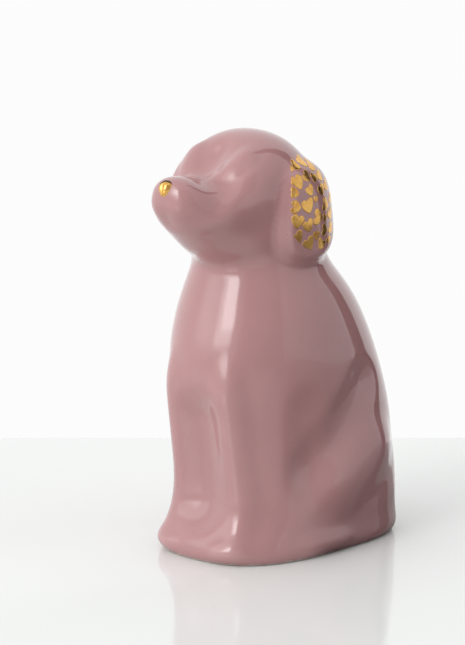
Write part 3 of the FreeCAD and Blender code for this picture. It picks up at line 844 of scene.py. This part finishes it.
def noseButton():
    bm = bmesh.new()
    bmesh.ops.create_uvsphere(bm, u_segments=32, v_segments=24, radius=1)
    for vert in bm.verts:
        x, y, z = vert.co
        crease = math.exp(-((x / nose["crease"][1]) ** 2)) * smoothStep(1 - abs(z + nose["creaseDown"]))
        vert.co = Vector(
            (
                x * (1 + nose["taper"] * z) * nose["halfWidth"] * mm,
                (y + nose["crease"][0] * crease * (y < 0)) * nose["depth"] * mm,
                z * nose["halfHeight"] * mm,
            )
        )
    turn = Vector((0, -1, 0)).rotation_difference(noseAhead)
    bmesh.ops.rotate(bm, verts=bm.verts, cent=(0, 0, 0), matrix=turn.to_matrix())
    middle = noseTip + noseAhead * (nose["proud"] - nose["depth"]) * mm
    bmesh.ops.translate(bm, verts=bm.verts, vec=middle)
    return bm


# the nose's far edge is painted dark to stand for a dark reflection, measured from this centre
noseDarkFreeCentre = noseTip + Vector(nose["darkFreeCentre"]) * mm
noseLustre = goldMaterial("noseLustre", tuple(noseDarkFreeCentre))
noseGold = newPiece("nose_gold", noseButton(), noseLustre, "shell", ["nose_gilding"])
addSubdivision(noseGold, 1)
print("nose made")


# The stopper is a soft collar gripped by the base hole, and a cap pushed up into it.
stopper = {
    "steps": 96,
    "bore": 14.3,
    "lap": 2.5,
    "flange": 1.2,
    "lipLap": 1.2,
    "lip": 0.8,
    "capFit": 0.08,
    "capWall": 1.6,
    "capDepth": 7.0,
    "capFlangeShort": 0.8,
    "collarFit": 0.05,
    "bar": 3.0,
    "barSunk": 0.4,  # how far the bar's top goes into the cup
    "barRound": 0.5,
    "soften": 0.25,
}


def spunPiece(name, corners, material, body, replaced):
    bm = bmesh.new()
    verts = [bm.verts.new((radius * mm, holeY, z * mm)) for radius, z in corners]
    for a, b in zip(verts, verts[1:]):
        bm.edges.new((a, b))
    if corners[0][0] > 0:
        bm.edges.new((verts[-1], verts[0]))
    bmesh.ops.spin(
        bm,
        geom=bm.verts[:] + bm.edges[:],
        cent=(0, holeY, 0),
        axis=(0, 0, 1),
        angle=math.tau,
        steps=stopper["steps"],
        use_merge=True,
    )
    bmesh.ops.remove_doubles(bm, verts=bm.verts, dist=0.005 * mm)
    bmesh.ops.recalc_face_normals(bm, faces=bm.faces)
    piece = newPiece(name, bm, material, body, replaced)
    bevel = piece.modifiers.new("softened", "BEVEL")
    bevel.width = stopper["soften"] * mm
    bevel.segments = 3
    bevel.limit_method = "ANGLE"
    bevel.harden_normals = True
    return piece


def makeStopper():
    bore = stopper["bore"]
    hole = cuts["holeRadius"] - stopper["collarFit"]
    under = cuts["footHeight"]
    seat = under - stopper["flange"]
    top = under + dogForm["floor"]
    brim = cuts["holeRadius"] + stopper["lap"]
    lip = cuts["holeRadius"] + stopper["lipLap"]
    collar = [
        (bore, seat), (brim, seat), (brim, under), (hole, under), (hole, top), (lip, top),
        (hole, top + stopper["lip"]), (bore, top + stopper["lip"]),
    ]
    spunPiece("stopper_ring", collar, collarVinyl, "shell", ["stopper_collar"])
    outer = bore - stopper["capFit"]
    inner = outer - stopper["capWall"]
    low = seat - stopper["flange"]
    crown = seat + stopper["capDepth"]
    ease = stopper["capWall"] / 2
    brim -= stopper["capFlangeShort"]
    cap = [
        (0, crown - stopper["capWall"]), (inner, crown - stopper["capWall"]), (inner, low), (brim, low),
        (brim, seat), (outer, seat), (outer, crown - ease), (outer - ease, crown), (0, crown),
    ]
    spunPiece("stopper_cup", cap, capVinyl, "stopper", ["stopper_cap"])
    pullBar(inner, low, crown - stopper["capWall"])


def pullBar(reach, low, high):
    bm = bmesh.new()
    bmesh.ops.create_cube(bm, size=1)
    high += stopper["barSunk"]
    size = (2 * reach + stopper["capWall"], stopper["bar"], high - low)
    bmesh.ops.scale(bm, vec=Vector(size) * mm, verts=bm.verts)
    bmesh.ops.translate(bm, vec=Vector((0, holeY, (low + high) / 2 * mm)), verts=bm.verts)
    bmesh.ops.bevel(
        bm,
        geom=bm.edges[:],
        offset=stopper["barRound"] * mm,
        segments=4,
        profile=0.5,
        affect="EDGES",
        material=-1,
    )
    newPiece("stopper_pull_bar", bm, capVinyl, "stopper")


makeStopper()
print("stopper made")


# Table and studio. The studio is soft panels painted on the sky; the camera itself sees plain white.
# In reflections the table is a little greyer, and dark in one sector.
studio = {
    "table": (1.6, 0.75, 0.194),  # width, run in front of the dog, run behind it, square to the view
    "tableColour": (0.86, 0.885, 0.87, 1),
    "tableReflected": (0.74, 0.75, 0.74, 1),
    "tableShaded": (0.14, 0.14, 0.14, 1),
    "shadedSector": (70, 95, 174, 179),  # azimuths where the shade starts, is full, begins to end and is gone
    "tableRoughness": 0.08,
    "seen": 0.975,
    "walls": 0.97,
    "panels": (  # azimuth and elevation ranges in degrees, softness, brightness
        ("ceiling", -180, 180, 60, 90, 20, 0.8),
        ("roomSide", 20, 155, -90, 60, 12, 0.50),
        ("keyHalo", -60, 24, -6, 66, 26, 2.0),
        ("keySoftbox", -20, 19, 4, 50, 11, 3.6),
        ("keyMiddle", -12, 19, 12, 44, 10, 6.0),
        ("sidePanel", 85, 152, -14, 60, 3, 0.80),
        ("darkStand", 153, 172, -90, 70, 2, 0.03),
        ("lowDark", 95, 153, -90, -13, 3, 0.10),
    ),
}


def makeTable():
    width, front, back = studio["table"]
    bm = bmesh.new()
    bmesh.ops.create_grid(bm, x_segments=1, y_segments=1, size=0.5)
    bmesh.ops.scale(bm, vec=(width, front + back, 1), verts=bm.verts)
    bmesh.ops.translate(bm, vec=(0, (back - front) / 2, 0), verts=bm.verts)
    turn = Matrix.Rotation(math.radians(cameraSetup["azimuth"]), 3, "Z")
    bmesh.ops.rotate(bm, cent=(0, 0, 0), matrix=turn, verts=bm.verts)
    aim = Vector(cameraSetup["aim"])
    bmesh.ops.translate(bm, vec=(aim.x, aim.y, 0), verts=bm.verts)
    mesh = bpy.data.meshes.new("table")
    bm.to_mesh(mesh)
    bm.free()
    table = bpy.data.objects.new("table", mesh)
    bpy.context.scene.collection.objects.link(table)
    material, tree, shader = newMaterial("tableTop")
    place = addNode(tree, "ShaderNodeTexCoord").outputs["Object"]
    x, y, _ = addNode(tree, "ShaderNodeSeparateXYZ", i0=place).outputs
    azimuth = azimuthOf(tree, x, y)
    start, full, end, gone = studio["shadedSector"]
    rising, falling = easeBetween(tree, azimuth, start, full), easeBetween(tree, azimuth, gone, end)
    shade = mathOf(tree, "MULTIPLY", rising, falling)
    ray = addNode(tree, "ShaderNodeLightPath").outputs["Is Camera Ray"]
    bounced = mixColours(tree, shade, studio["tableReflected"], studio["tableShaded"])
    colour = mixColours(tree, ray, bounced, studio["tableColour"])
    tree.links.new(colour, shader.inputs["Base Color"])
    shader.inputs["Roughness"].default_value = studio["tableRoughness"]
    mesh.materials.append(material)


def makeStudio():
    world = bpy.data.worlds.new("studio")
    bpy.context.scene.world = world
    world.use_nodes = True
    tree = world.node_tree
    tree.nodes.clear()
    way = addNode(tree, "ShaderNodeTexCoord").outputs["Generated"]
    x, y, z = addNode(tree, "ShaderNodeSeparateXYZ", i0=way).outputs
    azimuth = azimuthOf(tree, x, y)
    elevation = mathOf(tree, "DEGREES", mathOf(tree, "ARCSINE", z))
    level = studio["walls"]
    for _, left, right, low, high, soft, brightness in studio["panels"]:
        mask = 1.0
        for angle, start, end in ((azimuth, left, right), (elevation, low, high)):
            if start > -180 or angle is elevation:
                mask = mathOf(tree, "MULTIPLY", mask, easeBetween(tree, angle, start, start + soft))
            if end < 90 or (angle is azimuth and end < 180):
                mask = mathOf(tree, "MULTIPLY", mask, easeBetween(tree, angle, end, end - soft))
        level = easeBetween(tree, mask, 0.0, 1.0, level, brightness)
    ray = addNode(tree, "ShaderNodeLightPath").outputs["Is Camera Ray"]
    level = easeBetween(tree, ray, 0.0, 1.0, level, studio["seen"])
    light = addNode(tree, "ShaderNodeBackground", Color=level)
    addNode(tree, "ShaderNodeOutputWorld", Surface=light.outputs[0])


makeTable()
makeStudio()
print("studio lit")
